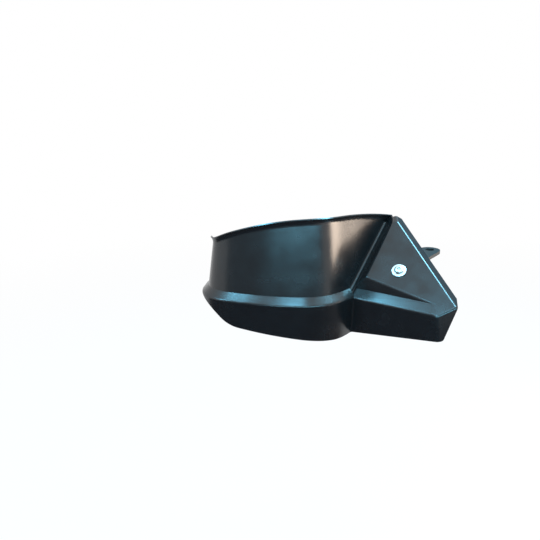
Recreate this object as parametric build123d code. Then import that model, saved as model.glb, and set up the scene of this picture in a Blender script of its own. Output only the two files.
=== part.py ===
from build123d import *
import os
from math import cos, hypot, radians, sin, sqrt

# Right-hand motorcycle hand guard: a thin moulded shell with a raised triangular pad,
# hung on a bent steel strip that goes under the mirror stem.
# Millimetres. The pieces are drawn about the panel screw, with X inboard, Y rearward and Z up,
# and moved at the end so that the origin is the centre of the mirror eye.

# Shell wall and section
WALL = 3.0                  # thickness of the moulding
LEDGE_Z = -23.3             # height of the foot of the upper wall
LEDGE_OUT = 8.0             # how far the ledge stands out from the upper wall
LEDGE_DROP = 7.5            # fall of the ledge over that width
EDGE_ROUND = 3.5            # edges of the ledge and the pad
FOOT_ROUND = 2.0            # hollow at the foot of the pad's front wall
VALLEY_ROUND = 3.0          # hollows between the bulge and the box
SKIRT_TUCK = 5.0            # degrees that the skirt leans in towards its rim
WALL_LEAN = 7.0             # degrees that the upper wall leans in towards its lip
LIP_RADIUS = 9.0            # hollow of the flared lip
LIP_TURN = 50.0             # degrees that the lip turns outwards
LIP_EDGE = 1.4              # thickness of the lip at its edge

# Plan of the upper wall's foot, from the outboard return to the side wall
CROWN_X = -112.5            # foremost point
CROWN_Y = -29.0
FRONT_RADIUS = 215.0
FRONT_TURN_OUT = 22.0       # degrees of front curve outboard of the crown
FRONT_TURN_IN = 1.5         # degrees of front curve inboard of the crown
CORNER_RADIUS = 32.0        # outboard corner
RETURN_ANGLE = 94.0         # plan angle of the outboard return
RETURN_LENGTH = 20.0
BEND_RADIUS = 58.0          # inboard bend
SIDE_ANGLE = 51.0           # plan angle of the side wall

# Front view of the lip and the rim
HEIGHT = 137.4              # from the lowest point of the skirt to the peak of the lip
LIP_PEAK_X = -88.0
LIP_PEAK_Z = 61.2
LIP_ARCH_RADIUS = 280.0
RETURN_FALL = 0.55          # fall of the lip for each millimetre along the return
RIM_LOW_X = -62.0           # lowest point of the skirt
RIM_LOW_Z = LIP_PEAK_Z - HEIGHT
RIM_LOW_ROUND = 60.0
RIM_OUT_SLOPE = 0.128       # rise of the rim going outboard
RIM_IN_SLOPE = 0.149        # rise of the rim going inboard
RIM_CORNER_X = -186.0       # where the rim turns up to the outboard end
RIM_CORNER_RISE = 0.88      # slope of the rim after that turn
RIM_CORNER_ROUND = 40.0
RIM_END_X = 43.0            # inboard end of the rim, where the free edge starts
RIM_END_LEAN = 0.36         # inboard run of the free edge for each millimetre of rise
RIM_END_ROUND = 4.0

# Raised pad and the box under it
PAD_RISE_X = 0.25           # rise of the pad for each millimetre inboard
PAD_RISE_Y = 0.80           # rise of the pad for each millimetre rearward
PAD_FRONT = 17.2            # plan distance from the screw to the pad's front wall
PAD_FRONT_ANGLE = 31.3      # plan angle of that wall
PAD_CORNER = 31.1           # run of the front wall outboard of the screw
PAD_LEDGE_OUT = 9.5         # how far the ledge stands out from that wall
PAD_LEDGE_DROP = 8.5        # fall of the ledge over that width
PAD_TOP_X = 0.0             # top corner of the pad before it is cut off, in plan
PAD_TOP_Y = 58.6
PAD_END_X = 54.6            # inboard corner of the pad, in plan
PAD_END_Y = -47.2
FACET_ANGLE = 12.4          # plan angle of the end facet
FACET_ROUND = 6.0           # upright corner between skirt and end facet
APEX_CUT = 6.5              # how much of the top corner is cut off
APEX_ANGLE = 17.0           # degrees that the top facet turns down from the pad
APEX_WIDTH = 12.0
BEVEL_ANGLE = 45.0          # degrees that the inboard bevel turns down from the pad
BEVEL_WIDTH = 11.0

# Fixings, ISO M6
SCREW_SIZE = 6.0
SHANK_PLAY = 0.05           # between the shank and the nut's bore, each side
SCREW_LENGTH = 20.0
HEAD_DIAMETER = 10.5
HEAD_HEIGHT = 3.3
HEAD_EDGE = 1.0             # upright edge under the button head's slope
HEAD_FLAT = 6.2             # flat on top of the button head
SOCKET_FLATS = 4.0
SOCKET_DEPTH = 2.1
HOLE_DIAMETER = 6.6         # clearance hole in shell and bracket
WASHER_BORE = 6.4
PANEL_WASHER_DIAMETER = 16.0
PANEL_WASHER_THICKNESS = 1.4
BACK_WASHER_DIAMETER = 12.0
BACK_WASHER_THICKNESS = 1.6
NUT_FLATS = 10.0
NUT_HEIGHT = 5.0
NUT_COLLAR_DIAMETER = 8.8
NUT_COLLAR_HEIGHT = 2.0
NUT_COLLAR_WALL = 0.6
INSERT_PLAY = 0.05

# Bracket
STRIP_THICKNESS = 4.0
STRIP_WIDTH = 24.0
STRIP_FRONT_GAP = 0.4       # between the strip's front end and the pad's front wall
STRIP_CORNER = 4.0
STRIP_BEND = 4.0            # inner radius of the bend
EYE_DISTANCE = 87.0         # plan distance from the screw to the mirror eye
EYE_Z = 3.0                 # height of the middle of the eye above the screw point
EYE_BORE = 10.5

STATION_STEP = 20.0         # spacing of the sections that the bulge is lofted through
FAR = 150.0                 # reach of the blocks that planes are cut from
NEAR = 0.001                # how close an edge lies to a plane that it belongs to
LET_IN = 0.15               # how far a web's round runs into the faces beside it


def unit(x, y, z):
    """Unit vector."""
    return Vector(x, y, z).normalized()


def on_pad(x, y):
    """Point of the pad's outer face above a plan point."""
    return Vector(x, y, PAD_RISE_X * x + PAD_RISE_Y * y)


def facing(point, normal):
    """Plane through a point with its outward normal."""
    return Plane(origin=point, z_dir=normal)


def sunk(plane, depth):
    """The same plane moved inwards."""
    return plane.offset(-depth)


def bounded(planes):
    """Convex block on the inner side of every plane."""
    block = Box(2 * FAR, 2 * FAR, 2 * FAR)
    for plane in planes:
        block = split(block, plane, keep=Keep.BOTTOM)
    return block


def meet(first, second, third):
    """Point where three planes meet."""
    pairs = ((first, second, third), (second, third, first), (third, first, second))
    crosses = [(one, two.z_dir.cross(three.z_dir)) for one, two, three in pairs]
    total = sum((cross * one.origin.dot(one.z_dir) for one, cross in crosses), Vector(0, 0, 0))
    return total * (1 / first.z_dir.dot(crosses[0][1]))


def edges_between(solid, first, second):
    """Edges that lie in both planes."""
    def lies_in(edge, plane):
        heights = [plane.to_local_coords(edge @ place).Z for place in (0, 0.5, 1)]
        return max(abs(height) for height in heights) < NEAR
    return [edge for edge in solid.edges() if lies_in(edge, first) and lies_in(edge, second)]


# Directions of the pad's front wall: along it, inboard, and into the box
front_along = unit(cos(radians(PAD_FRONT_ANGLE)), -sin(radians(PAD_FRONT_ANGLE)), 0)
front_in = unit(sin(radians(PAD_FRONT_ANGLE)), cos(radians(PAD_FRONT_ANGLE)), 0)
side_along = unit(cos(radians(SIDE_ANGLE)), sin(radians(SIDE_ANGLE)), 0)
side_out = unit(sin(radians(SIDE_ANGLE)), -cos(radians(SIDE_ANGLE)), 0)
pad_normal = unit(-PAD_RISE_X, -PAD_RISE_Y, 1)
up = Vector(0, 0, 1)


def turned(state, radius, turn):
    """Evenly spaced stations along an arc of the plan path: (x, y, heading)."""
    x, y, heading = state
    stations = []
    count = max(2, round(radius * radians(abs(turn)) / STATION_STEP))
    for step in range(1, count + 1):
        after = heading + turn * step / count
        stations.append((
            x + radius * (sin(radians(after)) - sin(radians(heading))),
            y - radius * (cos(radians(after)) - cos(radians(heading))),
            after,
        ))
    return stations


def moved(state, length):
    """Station further along a straight run."""
    x, y, heading = state
    return (x + length * cos(radians(heading)), y + length * sin(radians(heading)), heading)


def run(state, length):
    """Evenly spaced stations along a straight run."""
    count = max(2, round(abs(length) / STATION_STEP))
    return [moved(state, length * step / count) for step in range(1, count + 1)]


def section_plane(station):
    """Upright plane square to the plan path, with X outwards and Y up."""
    x, y, heading = station
    way = radians(heading)
    return Plane(origin=(x, y, 0), x_dir=(sin(way), -cos(way), 0), z_dir=(-cos(way), -sin(way), 0))


crown = (CROWN_X, CROWN_Y, 0.0)
front_out = turned(crown, FRONT_RADIUS, -FRONT_TURN_OUT)
corner = turned(front_out[-1], CORNER_RADIUS, FRONT_TURN_OUT - RETURN_ANGLE)
front_inner = turned(crown, FRONT_RADIUS, FRONT_TURN_IN)
bend = turned(front_inner[-1], BEND_RADIUS, SIDE_ANGLE - FRONT_TURN_IN)
side_start = bend[-1]

# Foot of the crease where the side wall meets the pad's front wall
foot_point = front_in * -PAD_FRONT
crease_run = (
    (foot_point.X - side_start[0]) * front_in.X + (foot_point.Y - side_start[1]) * front_in.Y
) / (side_along.X * front_in.X + side_along.Y * front_in.Y)
crease = Vector(*moved(side_start, crease_run)[:2], LEDGE_Z)

# Planes of the pad and its box
pad_corner = foot_point - front_along * PAD_CORNER
pad_left = on_pad(pad_corner.X, pad_corner.Y)
pad_top = on_pad(PAD_TOP_X, PAD_TOP_Y)
pad_end = on_pad(PAD_END_X, PAD_END_Y)
pad_edge = (pad_end - pad_top).normalized()
pad_inboard = pad_normal.cross(pad_edge)
apex_way = ((pad_top - pad_left).normalized() + (pad_top - pad_end).normalized()).normalized()
apex_point = pad_top - apex_way * APEX_CUT
apex_down = apex_way * cos(radians(APEX_ANGLE)) - pad_normal * sin(radians(APEX_ANGLE))
apex_normal = apex_way * sin(radians(APEX_ANGLE)) + pad_normal * cos(radians(APEX_ANGLE))
bevel_down = pad_inboard * cos(radians(BEVEL_ANGLE)) - pad_normal * sin(radians(BEVEL_ANGLE))
bevel_normal = pad_inboard * sin(radians(BEVEL_ANGLE)) + pad_normal * cos(radians(BEVEL_ANGLE))
side_normal = (pad_left - crease).cross(pad_top - crease).normalized()
ledge_foot = Vector(foot_point.X, foot_point.Y, LEDGE_Z)
ledge_edge = ledge_foot - front_in * PAD_LEDGE_OUT - up * PAD_LEDGE_DROP
skirt_normal = front_in * -cos(radians(SKIRT_TUCK)) - up * sin(radians(SKIRT_TUCK))
ledge_normal = front_in * -PAD_LEDGE_DROP + up * PAD_LEDGE_OUT
facet_normal = unit(sin(radians(FACET_ANGLE)), -cos(radians(FACET_ANGLE)), 0)

PAD = Plane(origin=(0, 0, 0), x_dir=(PAD_RISE_Y, -PAD_RISE_X, 0), z_dir=pad_normal)
PAD_FRONT_WALL = facing(foot_point, front_in * -1)
PAD_SIDE_WALL = facing(crease, side_normal)
BEVEL = facing(pad_top, bevel_normal)
APEX = facing(apex_point, apex_normal)
OPEN_EDGE = facing(pad_top + bevel_down * BEVEL_WIDTH, bevel_down)
OPEN_TOP = facing(apex_point + apex_down * APEX_WIDTH, apex_down)
LEDGE = facing(ledge_edge, ledge_normal)
LEDGE_TOP = facing(ledge_foot, up)
SKIRT = facing(ledge_edge, skirt_normal)
FACET = facing(pad_end, facet_normal)
LEDGE_BACK = facing(foot_point + front_in * 2 * WALL, front_in)
LEDGE_END = sunk(BEVEL, EDGE_ROUND)
SIDE_WALL = facing(crease, side_out * cos(radians(WALL_LEAN)) + up * sin(radians(WALL_LEAN)))
SIDE_LEDGE = facing(crease, side_out * LEDGE_DROP + up * LEDGE_OUT)
SIDE_SKIRT = facing(
    crease + side_out * LEDGE_OUT - up * LEDGE_DROP,
    side_out * cos(radians(SKIRT_TUCK)) - up * sin(radians(SKIRT_TUCK)),
)
SKIRT_TOP = facing(ledge_edge - up * (EDGE_ROUND / 2), up)

pad_walls = [PAD_SIDE_WALL, PAD_FRONT_WALL, PAD, BEVEL, APEX, FACET]
skirt_walls = [LEDGE_TOP, LEDGE, SKIRT, PAD, BEVEL, FACET]


def lip_height(x):
    """Height of the lip's edge, an arch in the front view."""
    away = x - LIP_PEAK_X
    return LIP_PEAK_Z - LIP_ARCH_RADIUS + sqrt(LIP_ARCH_RADIUS**2 - away**2)


def left_of(direction):
    """Plan normal on the left of a direction in the section plane."""
    return Vector(-direction.Y, direction.X)


def offset_corner(point, before, after, depth):
    """Corner of a polyline moved inwards by a depth, with unit directions before and after it."""
    n1 = left_of(before)
    n2 = left_of(after)
    return point + (n1 + n2) * (depth / (1 + n1.dot(n2)))


class Section:
    """Corners of the bulge's section: X is outwards from the wall's foot and Y is height."""

    def __init__(self, lip_z):
        lean = radians(WALL_LEAN)
        tuck = radians(SKIRT_TUCK)
        skirt_way = Vector(sin(tuck), cos(tuck))
        ledge_way = Vector(-LEDGE_OUT, LEDGE_DROP).normalized()
        wall_way = Vector(-sin(lean), cos(lean))
        lip_angle = lean - radians(LIP_TURN)
        lip_way = Vector(-sin(lip_angle), cos(lip_angle))
        mid_way = Vector(-sin(lean - radians(LIP_TURN) / 2), cos(lean - radians(LIP_TURN) / 2))
        foot = Vector(0, LEDGE_Z)
        edge = Vector(LEDGE_OUT, LEDGE_Z - LEDGE_DROP)
        skirt_run = (edge.Y - RIM_LOW_Z + WALL) / cos(tuck)
        rim = edge - skirt_way * skirt_run
        # The lip's arc has its centre outside the wall, so its end sets the wall's length
        centre_z = lip_z - (LIP_RADIUS + LIP_EDGE) * left_of(lip_way).Y
        wall_end_z = centre_z + LIP_RADIUS * left_of(wall_way).Y
        wall_run = (wall_end_z - foot.Y) / wall_way.Y
        wall_end = foot + wall_way * wall_run
        centre = wall_end - left_of(wall_way) * LIP_RADIUS
        ways = (wall_way, mid_way, lip_way)
        depths = (WALL, (WALL + LIP_EDGE) / 2, LIP_EDGE)
        self.outer_line = [rim, edge, foot, wall_end]
        self.outer_lip = [centre + left_of(way) * LIP_RADIUS for way in ways]
        inner_lip = [centre + left_of(way) * (LIP_RADIUS + depth) for way, depth in zip(ways, depths)]

        def corners(depth):
            return [
                offset_corner(foot, ledge_way, wall_way, depth),
                offset_corner(edge, skirt_way, ledge_way, depth),
                rim + left_of(skirt_way) * depth,
            ]

        self.inner_line = [*reversed(inner_lip), *corners(WALL)]
        self.middle_line = [wall_end + left_of(wall_way) * (WALL / 2), *corners(WALL / 2)]


def bulge_face(station):
    """Closed section of the bulge's wall, upright and square to the plan path."""
    x, y, _ = station
    fall = RETURN_FALL * max(0.0, (y - corner[-1][1])) if x < CROWN_X else 0.0
    section = Section(lip_height(x) - fall)
    outer = FilletPolyline(*section.outer_line, radius=[EDGE_ROUND, 0])
    lip = ThreePointArc(*section.outer_lip)
    inner = Polyline(section.outer_lip[-1], *section.inner_line, section.outer_line[0])
    face = make_face([*outer.edges(), lip, *inner.edges()])
    return section_plane(station) * face


def bulge():
    """Wall of the bulge, lofted from the outboard return to the far end of the side wall."""
    return_run = run(corner[-1], -RETURN_LENGTH)
    side_run = run(side_start, FAR)
    outboard = [*reversed(return_run), *reversed(corner), *reversed(front_out)]
    stations = [*outboard, crown, *front_inner, *bend, *side_run]
    return loft([bulge_face(station) for station in stations])


def bulge_hollow():
    """Space behind the middle of the side wall, the full length of its straight run."""
    wall_end, foot, edge, rim = Section(LIP_PEAK_Z).middle_line
    top = foot + (wall_end - foot) * (FAR / (wall_end - foot).Y)
    outline = Polyline((-2 * FAR, top.Y), top, foot, edge, rim, (-2 * FAR, rim.Y), close=True)
    return extrude(section_plane(moved(side_start, -FAR)) * make_face(outline), -3 * FAR)


def pad_block():
    """Filled outside of the raised pad, with every edge of the pad rounded."""
    block = bounded([*pad_walls, OPEN_EDGE, OPEN_TOP])
    sharp = [
        (PAD, PAD_SIDE_WALL),
        (PAD, PAD_FRONT_WALL),
        (PAD, BEVEL),
        (PAD, APEX),
        (PAD, FACET),
        (PAD_SIDE_WALL, PAD_FRONT_WALL),
        (PAD_SIDE_WALL, APEX),
        (BEVEL, APEX),
        (BEVEL, FACET),
    ]
    edges = [edge for first, second in sharp for edge in edges_between(block, first, second)]
    return fillet(edges, EDGE_ROUND)


def skirt_block():
    """Filled outside of the ledge and skirt under the pad, let a little way into the pad's block."""
    hidden = [LEDGE_TOP, LEDGE_BACK, LEDGE_END]
    block = bounded([*skirt_walls, LEDGE_BACK, LEDGE_END, OPEN_EDGE])
    block = fillet(edges_between(block, SKIRT, FACET), FACET_ROUND)
    inner = [edge for plane in hidden for edge in edges_between(block, PAD, plane)]
    front = [edge for edge in edges_between(block, PAD, PAD) if edge not in inner]
    return fillet(edges_between(block, LEDGE, SKIRT) + front, EDGE_ROUND)


def box_inside():
    """Hollow of the box, open at the rear, below and inboard."""
    upper = bounded([sunk(plane, WALL) for plane in pad_walls])
    lower = bounded([sunk(plane, WALL) for plane in skirt_walls])
    return upper + lower


def below_rim():
    """Everything below the rim and beyond the free edge, as one front outline carried through the depth."""
    corner_z = RIM_LOW_Z + RIM_OUT_SLOPE * (RIM_LOW_X - RIM_CORNER_X)
    end_z = RIM_LOW_Z + RIM_IN_SLOPE * (RIM_END_X - RIM_LOW_X)
    far_out = RIM_CORNER_X - FAR
    line = FilletPolyline(
        (far_out, corner_z + RIM_CORNER_RISE * FAR),
        (RIM_CORNER_X, corner_z),
        (RIM_LOW_X, RIM_LOW_Z),
        (RIM_END_X, end_z),
        (RIM_END_X + RIM_END_LEAN * FAR, end_z + FAR),
        radius=[RIM_CORNER_ROUND, RIM_LOW_ROUND, RIM_END_ROUND],
    )
    start = line @ 0
    end = line @ 1
    floor = -3 * FAR
    close = Polyline(end, (end.X + FAR, end.Y), (end.X + FAR, floor), (start.X, floor), start)
    face = make_face([*line.edges(), *close.edges()])
    return extrude(Plane.XZ * face, 2 * FAR, both=True)


def web(first, second, radius, start, span):
    """Bar that rounds the hollow between two faces, from a point of both and for a span along both."""
    towards = (first.z_dir + second.z_dir) * (1 / (1 + first.z_dir.dot(second.z_dir)))
    centre = start + towards * (radius - LET_IN)
    depth = radius - LET_IN + WALL / 2
    kite = make_face(Polyline(
        start - towards * (WALL / 2),
        centre - first.z_dir * depth,
        centre,
        centre - second.z_dir * depth,
        close=True,
    ))
    arc = Plane(origin=centre, x_dir=first.z_dir, z_dir=span) * Circle(radius)
    return extrude(kite - arc, span.length, dir=span)


def side_web():
    """Round of the valley between the side wall and the pad, from the ledge to the open edge."""
    way = PAD_SIDE_WALL.z_dir.cross(SIDE_WALL.z_dir).normalized()
    way = way if way.Z > 0 else way * -1
    bar = web(SIDE_WALL, PAD_SIDE_WALL, VALLEY_ROUND, crease - way * LEDGE_OUT, way * FAR)
    for plane in (LEDGE, SIDE_LEDGE):
        bar = split(bar, sunk(plane, WALL / 2), keep=Keep.TOP)
    for plane in (OPEN_EDGE, OPEN_TOP):
        bar = split(bar, plane, keep=Keep.BOTTOM)
    return bar


def skirt_web():
    """Round of the valley between the bulge's skirt and the box's, below the ledge."""
    top = meet(SIDE_SKIRT, SKIRT, SKIRT_TOP)
    bottom = meet(SIDE_SKIRT, SKIRT, facing(Vector(0, 0, RIM_LOW_Z), up))
    return web(SIDE_SKIRT, SKIRT, VALLEY_ROUND, bottom, top - bottom)


def foot_web():
    """Round of the hollow at the foot of the pad's front wall, run out where the pad meets the ledge."""
    end = meet(PAD_FRONT_WALL, LEDGE, PAD)
    bar = web(PAD_FRONT_WALL, LEDGE, FOOT_ROUND, crease, end - crease)
    return split(bar, PAD, keep=Keep.BOTTOM)


def guard_shell():
    """The moulding: bulge and box in one thin wall, open behind, below and inboard."""
    inside = box_inside()
    box = pad_block() + skirt_block() - inside - bulge_hollow()
    wall = split(bulge() - inside, OPEN_EDGE, keep=Keep.BOTTOM)
    hole = PAD * Cylinder(HOLE_DIAMETER / 2, 4 * WALL)
    webs = side_web() + skirt_web() + foot_web()
    return wall + box + webs - below_rim() - hole


def washer(diameter, thickness, height):
    """Flat washer on the screw's axis, with its lower face at a height above the pad."""
    ring = Circle(diameter / 2) - Circle(WASHER_BORE / 2)
    return PAD * Pos(0, 0, height) * extrude(ring, thickness)


def panel_screw():
    """Button-head screw: sloped head with a hex socket, and a plain shank."""
    head = HEAD_DIAMETER / 2
    shank = SCREW_SIZE / 2 - SHANK_PLAY
    outline = Polyline(
        (0, HEAD_HEIGHT),
        (HEAD_FLAT / 2, HEAD_HEIGHT),
        (head, HEAD_EDGE),
        (head, 0),
        (shank, 0),
        (shank, -SCREW_LENGTH),
        (0, -SCREW_LENGTH),
        close=True,
    )
    screw = revolve(Plane.XZ * make_face(outline), Axis.Z)
    hexagon = RegularPolygon(SOCKET_FLATS / 2, 6, major_radius=False)
    socket = Pos(0, 0, HEAD_HEIGHT - SOCKET_DEPTH) * extrude(hexagon, SOCKET_DEPTH)
    return PAD * Pos(0, 0, PANEL_WASHER_THICKNESS) * (screw - socket)


def lock_nut():
    """Hex nut under the back washer, with the round collar that holds the nylon ring."""
    body = extrude(RegularPolygon(NUT_FLATS / 2, 6, major_radius=False), -NUT_HEIGHT)
    deep = NUT_HEIGHT + NUT_COLLAR_HEIGHT
    collar = Pos(0, 0, -deep / 2) * Cylinder(NUT_COLLAR_DIAMETER / 2, deep)
    seat = Pos(0, 0, -NUT_HEIGHT - NUT_COLLAR_HEIGHT / 2) * Cylinder(insert_seat, NUT_COLLAR_HEIGHT)
    bore = Cylinder(SCREW_SIZE / 2, 4 * deep)
    return PAD * Pos(0, 0, nut_face) * (body + collar - seat - bore)


def nut_insert():
    """Nylon ring in the nut's collar."""
    ring = Circle(insert_seat - INSERT_PLAY) - Circle(SCREW_SIZE / 2)
    return PAD * Pos(0, 0, nut_face - NUT_HEIGHT) * extrude(ring, -NUT_COLLAR_HEIGHT + INSERT_PLAY)


def mount_bracket():
    """Steel strip: flat against the pad's back, bent level, and rounded about the mirror eye."""
    rise = hypot(PAD_RISE_X, PAD_RISE_Y)
    slant = sqrt(1 + rise**2)
    top = EYE_Z + STRIP_THICKNESS / 2
    bottom = EYE_Z - STRIP_THICKNESS / 2
    near = -FAR / 2
    far = FAR
    over = WALL * slant
    under = (WALL + STRIP_THICKNESS) * slant
    profile = FilletPolyline(
        (near, near * rise - over),
        ((top + over) / rise, top),
        (far, top),
        (far, bottom),
        ((bottom + under) / rise, bottom),
        (near, near * rise - under),
        radius=[0, STRIP_BEND + STRIP_THICKNESS, 0, 0, STRIP_BEND, 0],
        close=True,
    )
    fold = Plane(origin=(0, 0, 0), x_dir=(PAD_RISE_X, PAD_RISE_Y, 0), z_dir=(PAD_RISE_Y, -PAD_RISE_X, 0))
    sheet = extrude(fold * make_face(profile), FAR / 2, both=True)
    front = -(PAD_FRONT - WALL - STRIP_FRONT_GAP)
    half = STRIP_WIDTH / 2
    blank = make_face(FilletPolyline(
        (-half, front),
        (half, front),
        (half, EYE_DISTANCE),
        (-half, EYE_DISTANCE),
        radius=[STRIP_CORNER, STRIP_CORNER, 0, 0],
        close=True,
    ))
    blank = blank + Pos(0, EYE_DISTANCE) * Circle(half)
    plan = Plane(origin=(0, 0, 0), x_dir=front_along, z_dir=(0, 0, 1))
    strip = sheet & extrude(plan * blank, FAR, both=True)
    screw_hole = PAD * Cylinder(HOLE_DIAMETER / 2, FAR / 2)
    eye_hole = Pos(eye.X, eye.Y, eye.Z) * Cylinder(EYE_BORE / 2, 2 * STRIP_THICKNESS)
    return strip - screw_hole - eye_hole


# Heights on the screw's axis, down from the pad's outer face, and the mirror eye
back_face = -WALL - STRIP_THICKNESS
nut_face = back_face - BACK_WASHER_THICKNESS
insert_seat = NUT_COLLAR_DIAMETER / 2 - NUT_COLLAR_WALL
eye = front_in * EYE_DISTANCE + up * EYE_Z

pieces = {
    "guard_shell": guard_shell(),
    "panel_washer": washer(PANEL_WASHER_DIAMETER, PANEL_WASHER_THICKNESS, 0),
    "panel_screw": panel_screw(),
    "mount_bracket": mount_bracket(),
    "back_washer": washer(BACK_WASHER_DIAMETER, BACK_WASHER_THICKNESS, nut_face),
    "lock_nut": lock_nut(),
    "nut_insert": nut_insert(),
}

os.makedirs("parts", exist_ok=True)
for name, solid in pieces.items():
    placed = Pos(-eye.X, -eye.Y, -eye.Z) * solid
    export_step(placed, f"parts/{name}.step")
    print(name, round(placed.volume), placed.is_valid, len(placed.solids()))
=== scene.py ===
"""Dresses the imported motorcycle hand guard: moulded shell, panel screw and mirror strip.

The guard stands in a pale studio, seen from the photograph's place. Sizes are in millimetres.
"""

import logging
from dataclasses import dataclass, field
from enum import Enum

import bpy
import numpy as np
from mathutils import Matrix, Vector

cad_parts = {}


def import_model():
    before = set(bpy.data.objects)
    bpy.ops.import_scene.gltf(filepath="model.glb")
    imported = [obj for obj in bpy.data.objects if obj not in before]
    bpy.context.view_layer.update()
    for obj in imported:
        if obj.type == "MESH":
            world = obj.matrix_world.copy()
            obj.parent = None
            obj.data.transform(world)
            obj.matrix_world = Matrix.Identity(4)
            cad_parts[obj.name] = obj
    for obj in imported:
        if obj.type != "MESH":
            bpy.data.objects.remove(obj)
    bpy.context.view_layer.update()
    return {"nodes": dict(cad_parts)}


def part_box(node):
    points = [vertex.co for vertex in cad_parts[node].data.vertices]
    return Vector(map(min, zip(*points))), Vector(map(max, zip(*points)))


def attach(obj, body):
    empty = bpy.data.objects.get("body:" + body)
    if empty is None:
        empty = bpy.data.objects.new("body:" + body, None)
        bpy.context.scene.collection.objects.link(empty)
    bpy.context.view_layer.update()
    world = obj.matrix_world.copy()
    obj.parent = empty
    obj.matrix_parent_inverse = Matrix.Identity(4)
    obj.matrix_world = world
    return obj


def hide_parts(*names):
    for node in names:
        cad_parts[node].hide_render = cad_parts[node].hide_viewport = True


LOG = logging.getLogger("hand_guard")
MM = 0.001
BODY = "root"
WHITE = "#FFFFFF"

# A place or a direction in X, Y and Z
Point = tuple[float, float, float]

# Nearly all values of a noise texture lie between these two
NOISE_LOW = 0.3
NOISE_HIGH = 0.7

# Points closer than this are joined, which is only those of a solid's loose triangles
WELD_MM = 0.002

# Spans across an eased edge
EASE_SEGMENTS = 3

# Edges of turned pieces that turn more than this stay crisp
TURNED_SHARP_DEG = 35.0

# Shares of half a pitch: a metric thread's flat crest, and the flank that follows it
CREST_SHARE = 0.125
FLANK_SHARE = 0.625

# Heights of the floor, and of the cards' feet just above it
FLOOR_Z = -320.0
CARD_FOOT_Z = FLOOR_Z + 1.0


class Slot(Enum):
    """Names of material slots in the part's record; nothing here uses them."""

    SHELL = "shell"
    STAINLESS = "stainless"
    ZINC = "zinc"


class Gel(Enum):
    """Colours of the lamps, as sRGB hex."""

    COOL = "#8CE0FF"
    DEEP_COOL = "#7AD9FF"
    WARM = "#FFE7D0"


def linear(hex_colour: str) -> tuple[float, float, float, float]:
    """Turns an sRGB hex colour into linear RGBA, by the sRGB curve.

    Args:
        hex_colour: six hex digits, with or without a leading hash.

    Returns:
        The linear red, green and blue, and an alpha of 1.
    """
    digits = hex_colour.lstrip("#")
    srgb = np.array([int(digits[i:i + 2], 16) for i in (0, 2, 4)]) / 255.0
    low = srgb / 12.92
    high = ((srgb + 0.055) / 1.055) ** 2.4
    red, green, blue = np.where(srgb <= 0.04045, low, high)
    return (float(red), float(green), float(blue), 1.0)


def add_node(
    tree: bpy.types.NodeTree,
    kind: str,
    settings: dict[str, object] | None = None,
    inputs: dict[str | int, object] | None = None,
) -> bpy.types.Node:
    """Adds one node with its settings and links.

    Args:
        tree: the node tree that gets the node.
        kind: Blender's name of the node's class.
        settings: the node's own properties.
        inputs: input socket to either a value or another node's output socket.

    Returns:
        The new node.
    """
    node = tree.nodes.new(kind)
    for name, value in (settings or {}).items():
        setattr(node, name, value)
    for socket, value in (inputs or {}).items():
        if isinstance(value, bpy.types.NodeSocket):
            tree.links.new(value, node.inputs[socket])
        else:
            node.inputs[socket].default_value = value
    return node


def new_material(name: str) -> tuple[bpy.types.Material, bpy.types.NodeTree, bpy.types.NodeSocket]:
    """Makes an empty node material.

    Args:
        name: the material's name.

    Returns:
        The material, its node tree and the output's surface socket.
    """
    material = bpy.data.materials.new(name)
    material.use_nodes = True
    tree = material.node_tree
    tree.nodes.clear()
    output = add_node(tree, "ShaderNodeOutputMaterial")
    return material, tree, output.inputs["Surface"]


@dataclass(frozen=True)
class ScrewAxis:
    """Axis of the panel screw.

    It is a point on the axis, in metres, the outward direction, and two directions square to that.
    """

    point: np.ndarray
    out: np.ndarray
    across: np.ndarray
    beside: np.ndarray

    @classmethod
    def through(cls, inner_node: str, outer_node: str) -> "ScrewAxis":
        """Finds the axis from two round nodes, whose boxes have their middles on it.

        Args:
            inner_node: the node further in.
            outer_node: the node further out, whose middle becomes the axis's point.

        Returns:
            The axis, in metres.
        """
        boxes = (np.array(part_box(name), dtype=float) for name in (inner_node, outer_node))
        inner, outer = (np.mean(box, axis=0) for box in boxes)
        out = (outer - inner) / np.linalg.norm(outer - inner)
        across = np.cross((0.0, 0.0, 1.0), out)
        across /= np.linalg.norm(across)
        return cls(outer, out, across, np.cross(out, across))

    def place(self, radius: np.ndarray, angle: np.ndarray, height: np.ndarray) -> np.ndarray:
        """Puts cylinder coordinates about the axis into the part's frame.

        Each point is the axis's point, plus the height along the axis, plus the radius turned by the
        angle.

        Args:
            radius: distances from the axis, in millimetres.
            angle: angles about it, in radians.
            height: heights above the axis's point, in millimetres.

        Returns:
            The points in metres, with a last dimension of 3.
        """
        radius, angle, height = np.broadcast_arrays(radius, angle, height)
        turned = (
            (radius * np.cos(angle))[..., None] * self.across
            + (radius * np.sin(angle))[..., None] * self.beside
            + height[..., None] * self.out
        )
        return self.point + turned * MM

    def turn(self) -> tuple[float, float, float]:
        """Gives the turn that brings Z onto the axis.

        Returns:
            Its Euler angles, in radians.
        """
        columns = np.column_stack((self.across, self.beside, self.out))
        return tuple(Matrix(columns.tolist()).to_euler())


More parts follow.
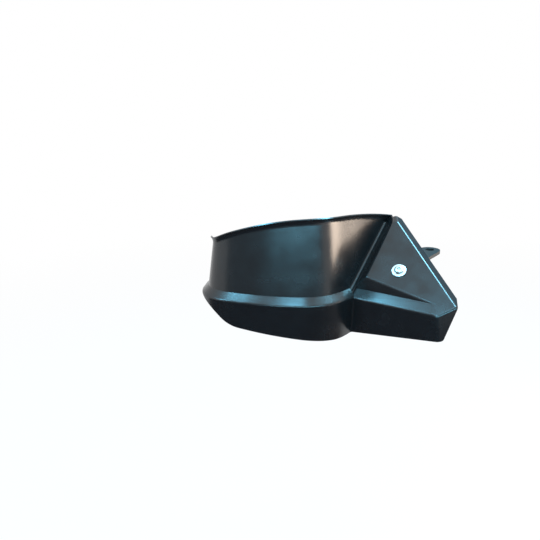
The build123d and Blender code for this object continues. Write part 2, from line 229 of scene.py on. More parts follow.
def skin(
    name: str,
    grid: np.ndarray,
    poles: tuple[np.ndarray, np.ndarray] | None,
    sharp_deg: float,
) -> bpy.types.Object:
    """Closes a grid of points into one skin that wraps round its columns.

    Neighbouring rows are joined by quads. With poles, a fan closes each end. Without them, the last row
    joins the first.

    Args:
        name: the object's name.
        grid: points by row, column and coordinate, in metres.
        poles: the points beyond the first and last rows, or None for a ring.
        sharp_deg: edges that turn more than this stay crisp.

    Returns:
        The new object, linked to the scene.
    """
    rows, columns = grid.shape[:2]
    index = np.arange(rows * columns).reshape(rows, columns)
    upper = index if poles is None else index[:-1]
    lower = np.roll(index, -1, axis=0) if poles is None else index[1:]
    corners = (upper, lower, np.roll(lower, -1, axis=1), np.roll(upper, -1, axis=1))
    quads = np.stack(corners, axis=-1).reshape(-1, 4)
    points = grid.reshape(-1, 3)
    fans = np.empty((0, 3), dtype=int)
    if poles is not None:
        points = np.vstack((points, *poles))
        first = np.full(columns, rows * columns)
        top = np.stack((first, index[0], np.roll(index[0], -1)), axis=-1)
        bottom = np.stack((first + 1, np.roll(index[-1], -1), index[-1]), axis=-1)
        fans = np.vstack((top, bottom))
    mesh = bpy.data.meshes.new(name)
    mesh.from_pydata(points.tolist(), [], quads.tolist() + fans.tolist())
    mesh.polygons.foreach_set("use_smooth", np.ones(len(mesh.polygons), dtype=bool))
    mesh.set_sharp_from_angle(angle=float(np.radians(sharp_deg)))
    piece = bpy.data.objects.new(name, mesh)
    bpy.context.scene.collection.objects.link(piece)
    return piece


def corner_arc(
    middle: tuple[float, float],
    radius: float,
    start_deg: float,
    end_deg: float,
    steps: int = 5,
) -> list[tuple[float, float]]:
    """Rounds one corner of a profile with points evenly spaced on a circle.

    Args:
        middle: the circle's centre, as radius from the axis and height.
        radius: the circle's radius.
        start_deg: angle of the first point, from outwards towards up.
        end_deg: angle of the last point.
        steps: number of spans.

    Returns:
        The points as radius and height.
    """
    angles = np.radians(np.linspace(start_deg, end_deg, steps + 1))
    outwards = middle[0] + radius * np.cos(angles)
    upwards = middle[1] + radius * np.sin(angles)
    return list(zip(outwards, upwards))


def hex_radius(angle: np.ndarray, flats: float) -> np.ndarray:
    """Gives the distance from the axis to a hexagon.

    It is half the width across flats, over the cosine of the angle from the nearest flat's middle.

    Args:
        angle: angles about the axis, in radians.
        flats: the hexagon's width across flats.

    Returns:
        The distances.
    """
    return flats / 2.0 / np.cos((angle % (np.pi / 3.0)) - np.pi / 6.0)


def thread_radius(
    angle: np.ndarray,
    height: np.ndarray,
    crest: float,
    depth: np.ndarray | float,
    pitch: float,
) -> np.ndarray:
    """Gives the radius of a single-start thread.

    It is a triangle wave of the height less the turn, cut flat at crest and root.

    Args:
        angle: angles about the axis, in radians.
        height: heights along it.
        crest: radius at the crests.
        depth: depth of the grooves, negative where they are cut outwards.
        pitch: height of one turn.

    Returns:
        The radii.
    """
    phase = (height / pitch - angle / (2.0 * np.pi)) % 1.0
    wave = np.abs(2.0 * phase - 1.0)
    groove = np.clip((wave - CREST_SHARE) / FLANK_SHARE, 0.0, 1.0)
    return crest - depth * groove


def ring(
    name: str,
    axis: ScrewAxis,
    radii: tuple[float, float],
    heights: tuple[float, float],
    edge: float,
    columns: int,
) -> bpy.types.Object:
    """Turns a flat ring with rounded outer corners and a small chamfer at its bore.

    The profile is a closed loop of radius and height, carried once round the axis.

    Args:
        name: the object's name.
        axis: the axis that it is turned about.
        radii: its bore's and its rim's radius.
        heights: its lower and upper face, above the axis's point.
        edge: radius of its outer corners.
        columns: number of columns round the axis.

    Returns:
        The ring's object.
    """
    bore, rim = radii
    low, high = heights
    chamfer = edge / 2.0
    profile = np.array([
        (bore + chamfer, high),
        *corner_arc((rim - edge, high - edge), edge, 90.0, 0.0),
        *corner_arc((rim - edge, low + edge), edge, 0.0, -90.0),
        (bore + chamfer, low),
        (bore, low + chamfer),
        (bore, high - chamfer),
    ])
    angle = np.linspace(0.0, 2.0 * np.pi, columns, endpoint=False)
    grid = axis.place(profile[:, :1], angle[None, :], profile[:, 1:])
    return skin(name, grid, None, TURNED_SHARP_DEG)


@dataclass(frozen=True)
class MouldedAbs:
    """Injection-moulded black ABS from a satin tool.

    To the eye it is near-black, with broad soft highlights and a fine grain.
    """

    colour: str = "#120F10"
    cloud_colour: str = "#171415"
    roughness: float = 0.25
    roughness_spread: float = 0.04
    cloud_mm: float = 22.0
    # The tool's real grain is about 0.1 mm, drawn coarser so that it shows at the picture's scale
    grain_mm: float = 0.8
    grain_depth_mm: float = 0.005
    ior: float = 1.57

    def make(self) -> bpy.types.Material:
        """Builds the material: cloudy colour and roughness over a fine moulded grain.

        Returns:
            The material.
        """
        material, tree, surface = new_material("moulded_abs")
        place = add_node(tree, "ShaderNodeTexCoord").outputs["Object"]
        cloud = add_node(
            tree,
            "ShaderNodeTexNoise",
            inputs={"Vector": place, "Scale": 1.0 / (self.cloud_mm * MM), "Detail": 4.0},
        )
        colour = add_node(
            tree,
            "ShaderNodeMix",
            settings={"data_type": "RGBA"},
            inputs={
                "Factor": cloud.outputs["Fac"],
                "A": linear(self.colour),
                "B": linear(self.cloud_colour),
            },
        )
        rough = add_node(
            tree,
            "ShaderNodeMapRange",
            inputs={
                "Value": cloud.outputs["Fac"],
                "From Min": NOISE_LOW,
                "From Max": NOISE_HIGH,
                "To Min": self.roughness - self.roughness_spread,
                "To Max": self.roughness + self.roughness_spread,
            },
        )
        grain = add_node(
            tree,
            "ShaderNodeTexNoise",
            inputs={"Vector": place, "Scale": 1.0 / (self.grain_mm * MM), "Detail": 2.0},
        )
        bump = add_node(
            tree,
            "ShaderNodeBump",
            inputs={
                "Height": grain.outputs["Fac"],
                "Distance": self.grain_depth_mm * MM,
                "Strength": 1.0,
            },
        )
        shader = add_node(
            tree,
            "ShaderNodeBsdfPrincipled",
            inputs={
                "Base Color": colour.outputs["Result"],
                "Roughness": rough.outputs["Result"],
                "IOR": self.ior,
                "Normal": bump.outputs["Normal"],
            },
        )
        tree.links.new(shader.outputs["BSDF"], surface)
        return material


@dataclass(frozen=True)
class TurnedSteel:
    """Steel turned on a lathe, bare or plated.

    To the eye it is a bright metal with fine rings about the axis in its highlight.
    """

    name: str
    colour: str
    tint: str
    roughness: float
    axis: ScrewAxis
    roughness_spread: float = 0.06
    ring_mm: float = 0.16
    ring_depth_mm: float = 0.003
    patch_mm: float = 1.8

    def make(self) -> bpy.types.Material:
        """Builds the material: patchy tint, and rings about the axis in its roughness and bump.

        Returns:
            The material.
        """
        material, tree, surface = new_material(self.name)
        place = add_node(tree, "ShaderNodeTexCoord").outputs["Object"]
        centred = add_node(
            tree,
            "ShaderNodeMapping",
            settings={"vector_type": "TEXTURE"},
            inputs={"Vector": place, "Location": tuple(self.axis.point), "Rotation": self.axis.turn()},
        )
        flat = add_node(
            tree,
            "ShaderNodeVectorMath",
            settings={"operation": "MULTIPLY"},
            inputs={0: centred.outputs["Vector"], 1: (1.0, 1.0, 0.0)},
        )
        radius = add_node(
            tree,
            "ShaderNodeVectorMath",
            settings={"operation": "LENGTH"},
            inputs={0: flat.outputs["Vector"]},
        )
        rings = add_node(
            tree,
            "ShaderNodeTexNoise",
            settings={"noise_dimensions": "1D"},
            inputs={"W": radius.outputs["Value"], "Scale": 1.0 / (self.ring_mm * MM), "Detail": 2.0},
        )
        patches = add_node(
            tree,
            "ShaderNodeTexNoise",
            inputs={"Vector": place, "Scale": 1.0 / (self.patch_mm * MM), "Detail": 3.0},
        )
        colour = add_node(
            tree,
            "ShaderNodeMix",
            settings={"data_type": "RGBA"},
            inputs={"Factor": patches.outputs["Fac"], "A": linear(self.colour), "B": linear(self.tint)},
        )
        rough = add_node(
            tree,
            "ShaderNodeMapRange",
            inputs={
                "Value": rings.outputs["Fac"],
                "From Min": NOISE_LOW,
                "From Max": NOISE_HIGH,
                "To Min": self.roughness - self.roughness_spread,
                "To Max": self.roughness + self.roughness_spread,
            },
        )
        bump = add_node(
            tree,
            "ShaderNodeBump",
            inputs={
                "Height": rings.outputs["Fac"],
                "Distance": self.ring_depth_mm * MM,
                "Strength": 1.0,
            },
        )
        shader = add_node(
            tree,
            "ShaderNodeBsdfPrincipled",
            inputs={
                "Base Color": colour.outputs["Result"],
                "Metallic": 1.0,
                "Roughness": rough.outputs["Result"],
                "Normal": bump.outputs["Normal"],
            },
        )
        tree.links.new(shader.outputs["BSDF"], surface)
        return material


@dataclass(frozen=True)
class PowderCoat:
    """Satin black powder coat on steel: an even dark skin with a slight orange peel."""

    colour: str = "#151515"
    fade_colour: str = "#1B1B1A"
    roughness: float = 0.42
    peel_mm: float = 1.4
    peel_depth_mm: float = 0.03
    fade_mm: float = 12.0

    def make(self) -> bpy.types.Material:
        """Builds the material: faintly uneven colour over a soft pebbled bump.

        Returns:
            The material.
        """
        material, tree, surface = new_material("powder_coat")
        place = add_node(tree, "ShaderNodeTexCoord").outputs["Object"]
        peel = add_node(
            tree,
            "ShaderNodeTexNoise",
            inputs={"Vector": place, "Scale": 1.0 / (self.peel_mm * MM), "Detail": 1.0},
        )
        fade = add_node(
            tree,
            "ShaderNodeTexNoise",
            inputs={"Vector": place, "Scale": 1.0 / (self.fade_mm * MM), "Detail": 3.0},
        )
        colour = add_node(
            tree,
            "ShaderNodeMix",
            settings={"data_type": "RGBA"},
            inputs={
                "Factor": fade.outputs["Fac"],
                "A": linear(self.colour),
                "B": linear(self.fade_colour),
            },
        )
        bump = add_node(
            tree,
            "ShaderNodeBump",
            inputs={
                "Height": peel.outputs["Fac"],
                "Distance": self.peel_depth_mm * MM,
                "Strength": 1.0,
            },
        )
        shader = add_node(
            tree,
            "ShaderNodeBsdfPrincipled",
            inputs={
                "Base Color": colour.outputs["Result"],
                "Roughness": self.roughness,
                "Normal": bump.outputs["Normal"],
            },
        )
        tree.links.new(shader.outputs["BSDF"], surface)
        return material


@dataclass(frozen=True)
class Nylon:
    """Moulded nylon, pale blue: slightly cloudy, with light that soaks in at its edges."""

    colour: str = "#8FA4BC"
    cloud_colour: str = "#A3B4C8"
    cloud_mm: float = 1.5
    roughness: float = 0.45
    ior: float = 1.53
    scatter: float = 0.2
    depth_mm: float = 0.6

    def make(self) -> bpy.types.Material:
        """Builds the material: cloudy colour with a little scattering below the surface.

        Returns:
            The material.
        """
        material, tree, surface = new_material("moulded_nylon")
        place = add_node(tree, "ShaderNodeTexCoord").outputs["Object"]
        cloud = add_node(
            tree,
            "ShaderNodeTexNoise",
            inputs={"Vector": place, "Scale": 1.0 / (self.cloud_mm * MM), "Detail": 3.0},
        )
        colour = add_node(
            tree,
            "ShaderNodeMix",
            settings={"data_type": "RGBA"},
            inputs={
                "Factor": cloud.outputs["Fac"],
                "A": linear(self.colour),
                "B": linear(self.cloud_colour),
            },
        )
        shader = add_node(
            tree,
            "ShaderNodeBsdfPrincipled",
            inputs={
                "Base Color": colour.outputs["Result"],
                "Roughness": self.roughness,
                "IOR": self.ior,
                "Subsurface Weight": self.scatter,
                "Subsurface Scale": self.depth_mm * MM,
            },
        )
        tree.links.new(shader.outputs["BSDF"], surface)
        return material


def crease_group(crease_deg: float) -> bpy.types.NodeTree:
    """Makes the geometry nodes that shade a mesh smooth and keep its sharper edges crisp.

    Args:
        crease_deg: edges that turn more than this stay crisp.

    Returns:
        The node group.
    """
    tree = bpy.data.node_groups.new(f"crease_{crease_deg:.0f}", "GeometryNodeTree")
    tree.interface.new_socket("Geometry", in_out="INPUT", socket_type="NodeSocketGeometry")
    tree.interface.new_socket("Geometry", in_out="OUTPUT", socket_type="NodeSocketGeometry")
    source = add_node(tree, "NodeGroupInput")
    faces = add_node(
        tree,
        "GeometryNodeSetShadeSmooth",
        settings={"domain": "FACE"},
        inputs={"Geometry": source.outputs["Geometry"], "Shade Smooth": True},
    )
    turn = add_node(tree, "GeometryNodeInputMeshEdgeAngle")
    sharp = add_node(
        tree,
        "FunctionNodeCompare",
        settings={"data_type": "FLOAT", "operation": "GREATER_THAN"},
        inputs={0: turn.outputs["Unsigned Angle"], 1: float(np.radians(crease_deg))},
    )
    edges = add_node(
        tree,
        "GeometryNodeSetShadeSmooth",
        settings={"domain": "EDGE"},
        inputs={
            "Geometry": faces.outputs["Geometry"],
            "Selection": sharp.outputs["Result"],
            "Shade Smooth": False,
        },
    )
    add_node(tree, "NodeGroupOutput", inputs={"Geometry": edges.outputs["Geometry"]})
    return tree


def finish_node(
    node: bpy.types.Object,
    material: bpy.types.Material,
    crease_deg: float,
    edge_mm: float = 0.0,
) -> None:
    """Dresses a solid: one material, joined triangles, eased edges and crisp creases.

    Args:
        node: the solid's object, whose own mesh is left as it is.
        material: its finish.
        crease_deg: edges that turn more than this stay crisp.
        edge_mm: width that its sharp edges are eased by, or 0 to leave them.
    """
    node.data.materials.clear()
    node.data.materials.append(material)
    weld = node.modifiers.new("weld", "WELD")
    weld.merge_threshold = WELD_MM * MM
    if edge_mm > 0.0:
        ease = node.modifiers.new("eased_edges", "BEVEL")
        ease.width = edge_mm * MM
        ease.segments = EASE_SEGMENTS
        ease.limit_method = "ANGLE"
        ease.angle_limit = float(np.radians(crease_deg))
    crease = node.modifiers.new("creases", "NODES")
    crease.node_group = crease_group(crease_deg)
    even = node.modifiers.new("even_normals", "WEIGHTED_NORMAL")
    even.mode = "FACE_AREA_WITH_ANGLE"
    even.keep_sharp = True
    LOG.info("%s keeps its solid, in %s", node.name, material.name)


def add_piece(piece: bpy.types.Object, material: bpy.types.Material, node: str) -> None:
    """Dresses a new piece and lets it stand for a solid.

    Args:
        piece: the new piece.
        material: its finish.
        node: the solid that it replaces.
    """
    piece.data.materials.append(material)
    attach(piece, BODY)
    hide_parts(node)
    LOG.info("%s replaces %s, %d points", piece.name, node, len(piece.data.vertices))


@dataclass(frozen=True)
class WebFace:
    """One face of the web.

    Its foot lies in the valley, its bowed side in the wall and its straight side in the pad.
    """

    foot: Point
    bow: Point
    lip: Point
    pad: Point

    def points(self, rows: int, columns: int) -> np.ndarray:
        """Gives the face's points by row, from the foot up, and by column, from the wall to the pad.

        The bowed side is the parabola through foot, bow and lip. The straight side runs from the foot to
        the pad. Each row is the straight line between them.

        Args:
            rows: number of rows.
            columns: number of columns.

        Returns:
            The points in millimetres.
        """
        corners = (self.foot, self.bow, self.lip, self.pad)
        foot, bow, lip, pad = (np.array(corner) for corner in corners)
        up = np.linspace(0.0, 1.0, rows + 1)[1:, None, None]
        over = np.linspace(0.0, 1.0, columns)[None, :, None]
        bowed = (
            foot * (1.0 - up) * (1.0 - 2.0 * up)
            + bow * 4.0 * up * (1.0 - up)
            + lip * up * (2.0 * up - 1.0)
        )
        straight = foot + up * (pad - foot)
        return bowed + over * (straight - bowed)


@dataclass(frozen=True)
class GuardShell:
    """The moulding, which keeps its solid's shape, and a small web that closes its top corner.

    The web carries the pad's side wall on until it meets the lip, and runs a little into both.
    """

    finish: MouldedAbs = field(default_factory=MouldedAbs)
    crease_deg: float = 19.0
    web_front: WebFace = WebFace(
        foot=(-55.55, -4.89, 32.86),
        bow=(-52.6, 0.45, 37.5),
        lip=(-48.45, 1.35, 42.8),
        pad=(-45.98, -9.83, 43.53),
    )
    web_back: WebFace = WebFace(
        foot=(-54.33, -3.99, 30.05),
        bow=(-50.57, 2.9, 35.98),
        lip=(-47.11, 4.2, 40.51),
        pad=(-44.0, -9.29, 41.89),
    )
    web_rows: int = 12
    web_columns: int = 10
    web_sharp_deg: float = 40.0

    def web(self) -> bpy.types.Object:
        """Builds the web as a closed skin of its two faces and the edges between them.

        Returns:
            The web's object.
        """
        front = self.web_front.points(self.web_rows, self.web_columns)
        back = self.web_back.points(self.web_rows, self.web_columns)
        loop = np.concatenate((front[:, ::-1], back), axis=1)
        foot = (np.array(self.web_front.foot) + np.array(self.web_back.foot)) / 2.0
        top = loop[-1].mean(axis=0)
        return skin("shell_corner_web", loop * MM, (foot * MM, top * MM), self.web_sharp_deg)

    def build(self, nodes: dict[str, bpy.types.Object]) -> None:
        """Dresses the shell's solid and adds the web.

        Args:
            nodes: the frame's objects by node name.
        """
        material = self.finish.make()
        finish_node(nodes["guard_shell"], material, self.crease_deg)
        web = self.web()
        web.data.materials.append(material)
        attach(web, BODY)
        LOG.info("%s added, %d points", web.name, len(web.data.vertices))


@dataclass(frozen=True)
class PanelScrew:
    """Socket button-head screw M6 with its wide washer, on the outside of the pad.

    Heights are above the washer.
    """

    axis: ScrewAxis
    washer_diameter: float = 16.0
    washer_bore: float = 6.4
    washer_thickness: float = 1.4
    washer_edge: float = 0.3
    head_diameter: float = 10.5
    head_height: float = 3.3
    head_edge: float = 1.0
    head_flat: float = 6.2
    head_bulge: float = 0.4
    head_foot: float = 0.2
    slope_rows: int = 11
    socket_flats: float = 4.0
    socket_floor_share: float = 0.5
    socket_depth: float = 2.1
    socket_chamfer: float = 0.15
    shank_diameter: float = 5.9
    length: float = 20.0
    pitch: float = 1.0
    thread_depth: float = 0.58
    thread_start: float = 1.6
    tip_chamfer: float = 0.7
    columns: int = 96
    rows_per_turn: int = 14
    sharp_deg: float = TURNED_SHARP_DEG

    def washer(self) -> bpy.types.Object:
        """Turns the washer: a rectangle with rounded outer corners, carried once round the axis.

        Returns:
            The washer's object.
        """
        half = self.washer_thickness / 2.0
        return ring(
            "panel_washer_turned",
            self.axis,
            (self.washer_bore / 2.0, self.washer_diameter / 2.0),
            (-half, half),
            self.washer_edge,
            self.columns,
        )

    def head_rows(self, angle: np.ndarray) -> list[tuple[np.ndarray, np.ndarray]]:
        """Gives the head's rows from the socket's floor to its underside, as radius and height.

        The socket is a hexagon, the top blends it into a circle, and the slope is a chord with a
        parabolic bulge.

        Args:
            angle: the columns' angles.

        Returns:
            One pair of arrays for each row.
        """
        even = np.ones_like(angle)
        socket = hex_radius(angle, self.socket_flats)
        floor = self.head_height - self.socket_depth
        flat = self.head_flat / 2.0
        head = self.head_diameter / 2.0
        rows = [
            (socket * self.socket_floor_share, even * floor),
            (socket, even * floor),
            (socket, even * (self.head_height - self.socket_chamfer)),
            (socket + self.socket_chamfer, even * self.head_height),
        ]
        start = np.array((flat, self.head_height))
        end = np.array((head, self.head_edge))
        chord = end - start
        normal = np.array((-chord[1], chord[0])) / np.linalg.norm(chord)
        for share in np.linspace(0.0, 1.0, self.slope_rows):
            bulge = self.head_bulge * 4.0 * share * (1.0 - share)
            radius, height = start + chord * share + normal * bulge
            rows.append((even * radius, even * height))
        foot = corner_arc((head - self.head_foot, self.head_foot), self.head_foot, 0.0, -90.0)
        rows.extend((even * radius, even * height) for radius, height in foot)
        return rows

    def shank_rows(self, angle: np.ndarray) -> list[tuple[np.ndarray, np.ndarray]]:
        """Gives the shank's rows from the head down: a plain neck, the thread, and a chamfered tip.

        Args:
            angle: the columns' angles.

        Returns:
            One pair of arrays for each row.
        """
        even = np.ones_like(angle)
        crest = self.shank_diameter / 2.0
        count = int(round((self.length - self.thread_start) / self.pitch * self.rows_per_turn))
        rows = [(even * crest, even * 0.0)]
        for height in np.linspace(-self.thread_start, -self.length, count + 1):
            run_in = np.clip((-height - self.thread_start) / self.pitch, 0.0, 1.0)
            radius = thread_radius(angle, even * height, crest, self.thread_depth * run_in, self.pitch)
            tip = crest - self.tip_chamfer + (height + self.length)
            rows.append((np.minimum(radius, tip), even * height))
        return rows

    def screw(self) -> bpy.types.Object:
        """Builds the screw as one skin from the middle of the socket's floor to the middle of its tip.

        Returns:
            The screw's object.
        """
        angle = np.linspace(0.0, 2.0 * np.pi, self.columns, endpoint=False)
        rows = self.head_rows(angle) + self.shank_rows(angle)
        radius = np.array([row[0] for row in rows])
        height = np.array([row[1] for row in rows])
        seat = self.washer_thickness / 2.0
        grid = self.axis.place(radius, angle, height + seat)
        ends = (self.head_height - self.socket_depth + seat, -self.length + seat)
        first, last = (self.axis.place(np.array(0.0), np.array(0.0), np.array(end)) for end in ends)
        return skin("panel_screw_threaded", grid, (first, last), self.sharp_deg)

    def build(self, steel: bpy.types.Material) -> None:
        """Builds and dresses the screw and its washer.

        Args:
            steel: their finish.
        """
        add_piece(self.washer(), steel, "panel_washer")
        add_piece(self.screw(), steel, "panel_screw")


@dataclass(frozen=True)
class MirrorStrip:
    """The bent strip behind the pad, with the washer, lock nut and nylon ring under it.

    Heights are above the middle of the washer outside the pad.
    """

    axis: ScrewAxis
    coat: PowderCoat = field(default_factory=PowderCoat)
    nylon: Nylon = field(default_factory=Nylon)
    crease_deg: float = 30.0
    strip_edge: float = 0.5
    pad_washer_half: float = 0.7
    wall: float = 3.0
    strip_thickness: float = 4.0
    washer_diameter: float = 12.0
    washer_bore: float = 6.4
    washer_thickness: float = 1.6
    washer_edge: float = 0.25
    nut_flats: float = 10.0
    nut_height: float = 5.0
    nut_sharp_deg: float = 25.0
    crown_deg: float = 30.0
    crown_start_share: float = 0.98
    crown_rows: int = 6
    collar_diameter: float = 8.8
    collar_height: float = 2.0
    collar_wall: float = 0.6
    collar_edge: float = 0.4
    bore_diameter: float = 6.0
    columns: int = 96
    pitch: float = 1.0
    rows_per_turn: int = 12
    thread_cut: float = 0.45

    def washer_top(self) -> float:
        """Gives the height of the strip's back face, where the washer starts.

        Returns:
            The height.
        """
        return -self.pad_washer_half - self.wall - self.strip_thickness

    def washer(self) -> bpy.types.Object:
        """Turns the washer behind the strip.

        Returns:
            The washer's object.
        """
        high = self.washer_top()
        return ring(
            "back_washer_turned",
            self.axis,
            (self.washer_bore / 2.0, self.washer_diameter / 2.0),
            (high - self.washer_thickness, high),
            self.washer_edge,
            self.columns,
        )

    def nut_rows(self, angle: np.ndarray) -> list[tuple[np.ndarray, np.ndarray]]:
        """Gives the nut's closed loop of rows.

        They run from its seat out, down its collar and up its threaded bore. Each outer row is the
        smaller of the hexagon and a cone that rises from the end face at the crown's angle.

        Args:
            angle: the columns' angles.

        Returns:
            One pair of arrays for each row, with heights below the nut's seat.
        """
        even = np.ones_like(angle)
        hexagon = hex_radius(angle, self.nut_flats)
        slope = 1.0 / np.tan(np.radians(self.crown_deg))
        inscribed = self.nut_flats / 2.0 * self.crown_start_share
        bore = self.bore_diameter / 2.0
        rows = [(even * (bore + self.thread_cut), even * 0.0)]
        crown = (self.nut_flats / 2.0 / np.cos(np.pi / 6.0) - inscribed) / slope
        for depth in np.linspace(0.0, crown, self.crown_rows):
            rows.append((np.minimum(hexagon, inscribed + depth * slope), even * -depth))
        for depth in np.linspace(crown, 0.0, self.crown_rows):
            radius = np.minimum(hexagon, inscribed + depth * slope)
            rows.append((radius, even * (depth - self.nut_height)))
        collar = self.collar_diameter / 2.0
        seat = collar - self.collar_wall
        deep = -self.nut_height - self.collar_height
        rows.append((even * collar, even * -self.nut_height))
        middle = (collar - self.collar_edge, deep + self.collar_edge)
        rounded = corner_arc(middle, self.collar_edge, 0.0, -90.0)
        rows.extend((even * radius, even * height) for radius, height in rounded)
        rows.append((even * seat, even * deep))
        rows.append((even * seat, even * -self.nut_height))
        turns = int(round(self.nut_height / self.pitch * self.rows_per_turn))
        for height in np.linspace(-self.nut_height, -self.thread_cut, turns):
            radius = thread_radius(angle, even * height, bore, -self.thread_cut, self.pitch)
            rows.append((radius, even * height))
        return rows

    def nut(self) -> bpy.types.Object:
        """Builds the lock nut: a hexagon with turned-off corners, a round collar and a threaded bore.

        Returns:
            The nut's object.
        """
        angle = np.linspace(0.0, 2.0 * np.pi, self.columns, endpoint=False)
        rows = self.nut_rows(angle)
        radius = np.array([row[0] for row in rows])
        height = np.array([row[1] for row in rows])
        grid = self.axis.place(radius, angle, height + self.washer_top() - self.washer_thickness)
        return skin("lock_nut_crowned", grid, None, self.nut_sharp_deg)

    def build(self, nodes: dict[str, bpy.types.Object], zinc: bpy.types.Material) -> None:
        """Builds and dresses the strip and what clamps it.

        Args:
            nodes: the frame's objects by node name.
            zinc: finish of the washer and the nut.
        """
        finish_node(nodes["mount_bracket"], self.coat.make(), self.crease_deg, self.strip_edge)
        finish_node(nodes["nut_insert"], self.nylon.make(), self.crease_deg)
        add_piece(self.washer(), zinc, "back_washer")
        add_piece(self.nut(), zinc, "lock_nut")


@dataclass(frozen=True)
class Lamp:
    """One rectangular soft lamp that faces the object, placed as seen from it, in degrees.

    An azimuth of 0 is in front and 90 is to the right. The spread is its width and height as seen from
    the object.
    """

    name: str
    azimuth: float
    elevation: float
    spread: tuple[float, float]
    radiance: float
    gel: Gel
    distance: float = 900.0
    target: Point = (-130.0, -90.0, 0.0)

    def add(self) -> None:
        """Adds the lamp. Its power is its radiance times its area times pi."""
        turn, rise = np.radians((self.azimuth, self.elevation))
        way = Vector((np.sin(turn) * np.cos(rise), -np.cos(turn) * np.cos(rise), np.sin(rise)))
        width, height = 2.0 * self.distance * MM * np.tan(np.radians(self.spread) / 2.0)
        data = bpy.data.lights.new(self.name, "AREA")
        data.shape = "RECTANGLE"
        data.size = width
        data.size_y = height
        data.energy = self.radiance * np.pi * width * height
        data.color = linear(self.gel.value)[:3]
        lamp = bpy.data.objects.new(self.name, data)
        bpy.context.scene.collection.objects.link(lamp)
        lamp.location = (Vector(self.target) + way * self.distance) * MM
        lamp.rotation_euler = (-way).to_track_quat("-Z", "Y").to_euler()
        lamp.visible_camera = False


def level(left: float, right: float, near: float, far: float, z: float) -> tuple[Point, ...]:
    """Gives the corners of a level rectangle, in order.

    Args:
        left: where it starts in X.
        right: where it ends in X.
        near: where it starts in Y.
        far: where it ends in Y.
        z: its height.

    Returns:
        The four corners.
    """
    return ((left, near, z), (right, near, z), (right, far, z), (left, far, z))


def upright(start: float, end: float, low: float, high: float, y: float) -> tuple[Point, ...]:
    """Gives the corners of an upright rectangle across Y, in order.

    Args:
        start: where it starts in X.
        end: where it ends in X, below the start if it faces back.
        low: its lower edge.
        high: its upper edge.
        y: its place in Y.

    Returns:
        The four corners.
    """
    return ((start, y, low), (end, y, low), (end, y, high), (start, y, high))


def add_sheet(name: str, corners: tuple[Point, ...], material: bpy.types.Material) -> bpy.types.Object:
    """Sets up one flat sheet as part of the stage.

    Args:
        name: its name.
        corners: its four corners in order.
        material: its finish.

    Returns:
        The sheet's object.
    """
    mesh = bpy.data.meshes.new(name)
    mesh.from_pydata((np.array(corners) * MM).tolist(), [], [(0, 1, 2, 3)])
    mesh.materials.append(material)
    sheet = bpy.data.objects.new(name, mesh)
    bpy.context.scene.collection.objects.link(sheet)
    return sheet


@dataclass(frozen=True)
class Card:
    """One flat glowing card that shows only in the part's gloss, as a studio flag does: it gives the
    part's faces a painted dark or tinted reflection.
    """

    name: str
    corners: tuple[Point, ...]
    shade: str

    def add(self) -> None:
        """Sets up the card, glowing evenly in its own shade as a painted reflection."""
        material, tree, surface = new_material(self.name)
        paper = add_node(
            tree,
            "ShaderNodeEmission",
            inputs={"Color": linear(self.shade), "Strength": 1.0},
        )
        tree.links.new(paper.outputs["Emission"], surface)
        card = add_sheet(self.name, self.corners, material)
        card.visible_camera = False
        card.visible_diffuse = False
        card.visible_shadow = False


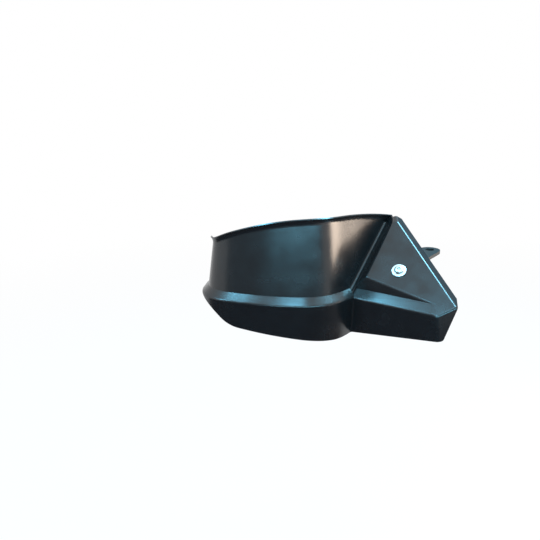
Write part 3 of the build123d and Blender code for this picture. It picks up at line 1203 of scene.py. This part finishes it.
@dataclass(frozen=True)
class Studio:
    """Pale floor, soft lamps, cards, and the camera at the photograph's place."""

    camera: Point = (-139.3, -751.74, 202.7)
    forward: Point = (-0.06671, 0.95397, -0.29237)
    lens_mm: float = 42.67
    sensor_mm: float = 36.0
    floor_half: float = 12000.0
    paper_colour: str = "#F4F4F4"
    # From the first distance to the second, the floor goes from this share of plain white to all of it
    white_share: float = 0.93
    white_from: float = 500.0
    white_to: float = 1500.0
    fill: float = 0.25
    fill_colour: str = "#FFE9DF"
    # Glowing cards seen only in gloss: a painted dark reflection below, a grey one in front and a teal
    # one behind
    cards: tuple[Card, ...] = (
        Card(
            name="floor_card",
            corners=level(left=-1300.0, right=500.0, near=-2600.0, far=0.0, z=CARD_FOOT_Z),
            shade="#4A3230",
        ),
        Card(
            name="front_card",
            corners=upright(start=1300.0, end=-1500.0, low=CARD_FOOT_Z, high=700.0, y=-1100.0),
            shade="#909296",
        ),
        Card(
            name="back_card",
            corners=upright(start=150.0, end=2600.0, low=CARD_FOOT_Z, high=900.0, y=1300.0),
            shade="#3F8FB0",
        ),
    )
    # Each lamp's name, azimuth, elevation, spread, radiance and colour
    lamps: tuple[Lamp, ...] = (
        Lamp("front_box", 14.0, 12.5, (68.0, 9.0), 19.0, Gel.COOL),
        Lamp("front_tall", -4.0, 46.0, (12.0, 24.0), 9.0, Gel.COOL),
        Lamp("front_top", -6.0, 67.0, (16.0, 9.0), 27.0, Gel.DEEP_COOL),
        Lamp("left_tall", -66.0, 36.0, (12.0, 26.0), 20.0, Gel.DEEP_COOL),
        Lamp("left_top", -85.0, 60.0, (12.0, 8.0), 44.0, Gel.DEEP_COOL),
        Lamp("right_box", 95.0, -2.0, (20.0, 34.0), 13.0, Gel.WARM, 700.0),
        Lamp("back_tall", 121.0, 62.0, (20.0, 26.0), 38.0, Gel.COOL),
    )

    def place_camera(self) -> None:
        """Sets the camera level across the picture, at the photograph's place and direction."""
        data = bpy.data.cameras.new("camera")
        data.lens = self.lens_mm
        data.sensor_width = self.sensor_mm
        camera = bpy.data.objects.new("camera", data)
        bpy.context.scene.collection.objects.link(camera)
        camera.location = Vector(self.camera) * MM
        camera.rotation_euler = Vector(self.forward).to_track_quat("-Z", "Y").to_euler()
        bpy.context.scene.camera = camera

    @staticmethod
    def seen(tree: bpy.types.NodeTree) -> bpy.types.NodeSocket:
        """Adds the nodes that tell a look from gathered light.

        They give 1 where a surface is looked at, straight, mirrored or through another, and else 0.

        Args:
            tree: the node tree that gets them.

        Returns:
            Their output.
        """
        path = add_node(tree, "ShaderNodeLightPath")
        straight = add_node(
            tree,
            "ShaderNodeMath",
            settings={"operation": "MAXIMUM"},
            inputs={0: path.outputs["Is Camera Ray"], 1: path.outputs["Is Glossy Ray"]},
        )
        either = add_node(
            tree,
            "ShaderNodeMath",
            settings={"operation": "MAXIMUM"},
            inputs={0: straight.outputs["Value"], 1: path.outputs["Is Transmission Ray"]},
        )
        return either.outputs["Value"]

    def floor_material(self) -> bpy.types.Material:
        """Makes the floor's paper: white where it is looked at, and shaded by the object near it.

        Returns:
            The material.
        """
        material, tree, surface = new_material("white_paper")
        place = add_node(tree, "ShaderNodeTexCoord").outputs["Object"]
        away = add_node(
            tree,
            "ShaderNodeVectorMath",
            settings={"operation": "LENGTH"},
            inputs={0: place},
        )
        clear = add_node(
            tree,
            "ShaderNodeMapRange",
            inputs={
                "Value": away.outputs["Value"],
                "From Min": self.white_from * MM,
                "From Max": self.white_to * MM,
                "To Min": self.white_share,
                "To Max": 1.0,
            },
        )
        share = add_node(
            tree,
            "ShaderNodeMath",
            settings={"operation": "MULTIPLY"},
            inputs={0: clear.outputs["Result"], 1: self.seen(tree)},
        )
        paper = add_node(tree, "ShaderNodeBsdfDiffuse", inputs={"Color": linear(self.paper_colour)})
        white = add_node(tree, "ShaderNodeEmission", inputs={"Color": linear(WHITE), "Strength": 1.0})
        mixed = add_node(
            tree,
            "ShaderNodeMixShader",
            inputs={0: share.outputs["Value"], 1: paper.outputs["BSDF"], 2: white.outputs["Emission"]},
        )
        tree.links.new(mixed.outputs["Shader"], surface)
        return material

    def light_world(self) -> None:
        """Gives the world an even pale light, white where it is looked at."""
        world = bpy.data.worlds.new("studio")
        bpy.context.scene.world = world
        world.use_nodes = True
        tree = world.node_tree
        tree.nodes.clear()
        seen = self.seen(tree)
        strength = add_node(
            tree,
            "ShaderNodeMapRange",
            inputs={"Value": seen, "To Min": self.fill, "To Max": 1.0},
        )
        colour = add_node(
            tree,
            "ShaderNodeMix",
            settings={"data_type": "RGBA"},
            inputs={"Factor": seen, "A": linear(self.fill_colour), "B": linear(WHITE)},
        )
        light = add_node(
            tree,
            "ShaderNodeBackground",
            inputs={"Color": colour.outputs["Result"], "Strength": strength.outputs["Result"]},
        )
        add_node(tree, "ShaderNodeOutputWorld", inputs={"Surface": light.outputs["Background"]})

    def build(self) -> None:
        """Sets up the camera, floor, cards, world and lamps."""
        self.place_camera()
        reach = self.floor_half
        floor = level(-reach, reach, -reach, reach, FLOOR_Z)
        add_sheet("floor", floor, self.floor_material())
        for card in self.cards:
            card.add()
        self.light_world()
        for lamp in self.lamps:
            lamp.add()


def main() -> None:
    """Builds the pieces in order."""
    logging.basicConfig(level=logging.INFO)
    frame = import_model()
    bpy.context.scene.view_settings.view_transform = "Standard"
    nodes = frame["nodes"]
    axis = ScrewAxis.through("nut_insert", "panel_washer")
    stainless = TurnedSteel(
        name="stainless_steel",
        colour="#DEDDDB",
        tint="#D2D2D2",
        roughness=0.34,
        axis=axis,
    )
    zinc = TurnedSteel(
        name="zinc_plate",
        colour="#B4B8BE",
        tint="#A5A79F",
        roughness=0.36,
        axis=axis,
    )
    stainless_look = stainless.make()
    zinc_look = zinc.make()
    GuardShell().build(nodes)
    PanelScrew(axis).build(stainless_look)
    MirrorStrip(axis).build(nodes, zinc_look)
    Studio().build()
    bpy.context.view_layer.update()


if __name__ == "__main__":
    main()
